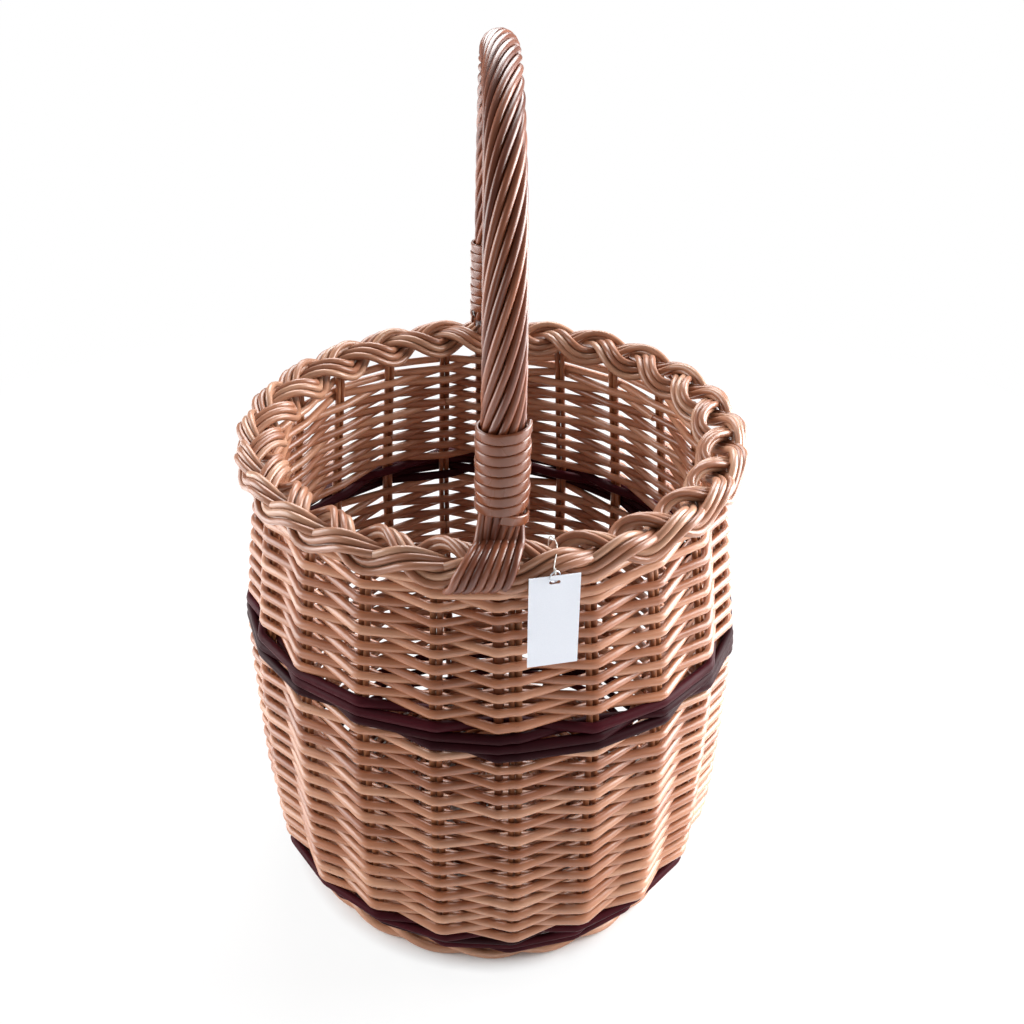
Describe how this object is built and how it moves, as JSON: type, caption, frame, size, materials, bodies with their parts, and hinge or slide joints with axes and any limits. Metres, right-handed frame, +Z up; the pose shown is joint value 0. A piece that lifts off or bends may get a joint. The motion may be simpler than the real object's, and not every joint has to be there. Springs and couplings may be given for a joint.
{
  "type": "wicker shopping basket",
  "caption": "Round willow shopping basket, woven in natural and dark maroon rods, with a plaited border, a roped bow handle and a blank swing tag.",
  "frame": {"origin": "on the ground, at the middle of the round foot", "axes": "+Z up; -Y is the front, where the tag hangs beside one end of the handle; the handle's arch lies in the YZ plane"},
  "size_m": [0.3457, 0.3461, 0.5987],
  "materials": {
    "willow": "satin peeled willow",
    "pale_willow": "satin peeled willow",
    "dark_willow": "matt peeled willow",
    "dyed_willow": "dyed dark maroon, satin",
    "cane": "glossy split cane",
    "card": "matt card, blank",
    "wire": "bare wire",
    "thread": "thin cotton string"
  },
  "bodies": {
    "basket": {"foot_wale": "willow", "base_stick_under_1": "dark_willow", "base_stick_under_2": "dark_willow", "base_stick_under_3": "dark_willow", "base_stick_over_1": "dark_willow", "base_stick_over_2": "dark_willow", "base_stick_over_3": "dark_willow", "base_stick_over_4": "dark_willow", "base_weaver_1": "dark_willow", "base_weaver_2": "dark_willow", "stake_01": "dark_willow", "stake_02": "dark_willow", "stake_03": "dark_willow", "stake_04": "dark_willow", "stake_05": "dark_willow", "stake_06": "dark_willow", "stake_07": "dark_willow", "stake_08": "dark_willow", "stake_09": "dark_willow", "stake_10": "dark_willow", "stake_11": "dark_willow", "stake_12": "dark_willow", "stake_13": "dark_willow", "stake_14": "dark_willow", "stake_15": "dark_willow", "stake_16": "dark_willow", "stake_17": "dark_willow", "stake_18": "dark_willow", "stake_19": "dark_willow", "stake_20": "dark_willow", "stake_21": "dark_willow", "upsett_wale": "dyed_willow", "siding_lower_1": "willow", "siding_lower_2": "willow", "siding_lower_3": "willow", "middle_wale_band": "dyed_willow", "siding_upper_1": "willow", "siding_upper_2": "willow", "top_wale": "willow", "border_strand_1": "pale_willow", "border_strand_2": "pale_willow", "border_strand_3": "pale_willow", "handle_bow": "dark_willow", "handle_rope_01": "willow", "handle_rope_02": "willow", "handle_rope_03": "willow", "handle_rope_04": "willow", "handle_rope_05": "willow", "handle_rope_06": "willow", "handle_rope_07": "willow", "handle_rope_08": "willow", "handle_rope_09": "willow", "handle_rope_10": "willow", "handle_rope_11": "willow", "handle_rope_12": "willow", "binding_front": "cane", "binding_back": "cane", "tag_string": "thread"},
    "tag_ring": {"tag_ring": "wire"},
    "tag_card": {"tag_card": "card"}
  },
  "joints": [
    {"name": "ring_on_string", "type": "hinge", "parent": "basket", "child": "tag_ring", "pos_m": [0.02774, -0.16759, 0.35141], "axis": [-0.9866, -0.1633, 0], "range_deg": [0, 75]},
    {"name": "card_on_ring", "type": "hinge", "parent": "tag_ring", "child": "tag_card", "pos_m": [0.02774, -0.16759, 0.34481], "axis": [-0.9866, -0.1633, 0], "range_deg": [-3, 8]}
  ]
}
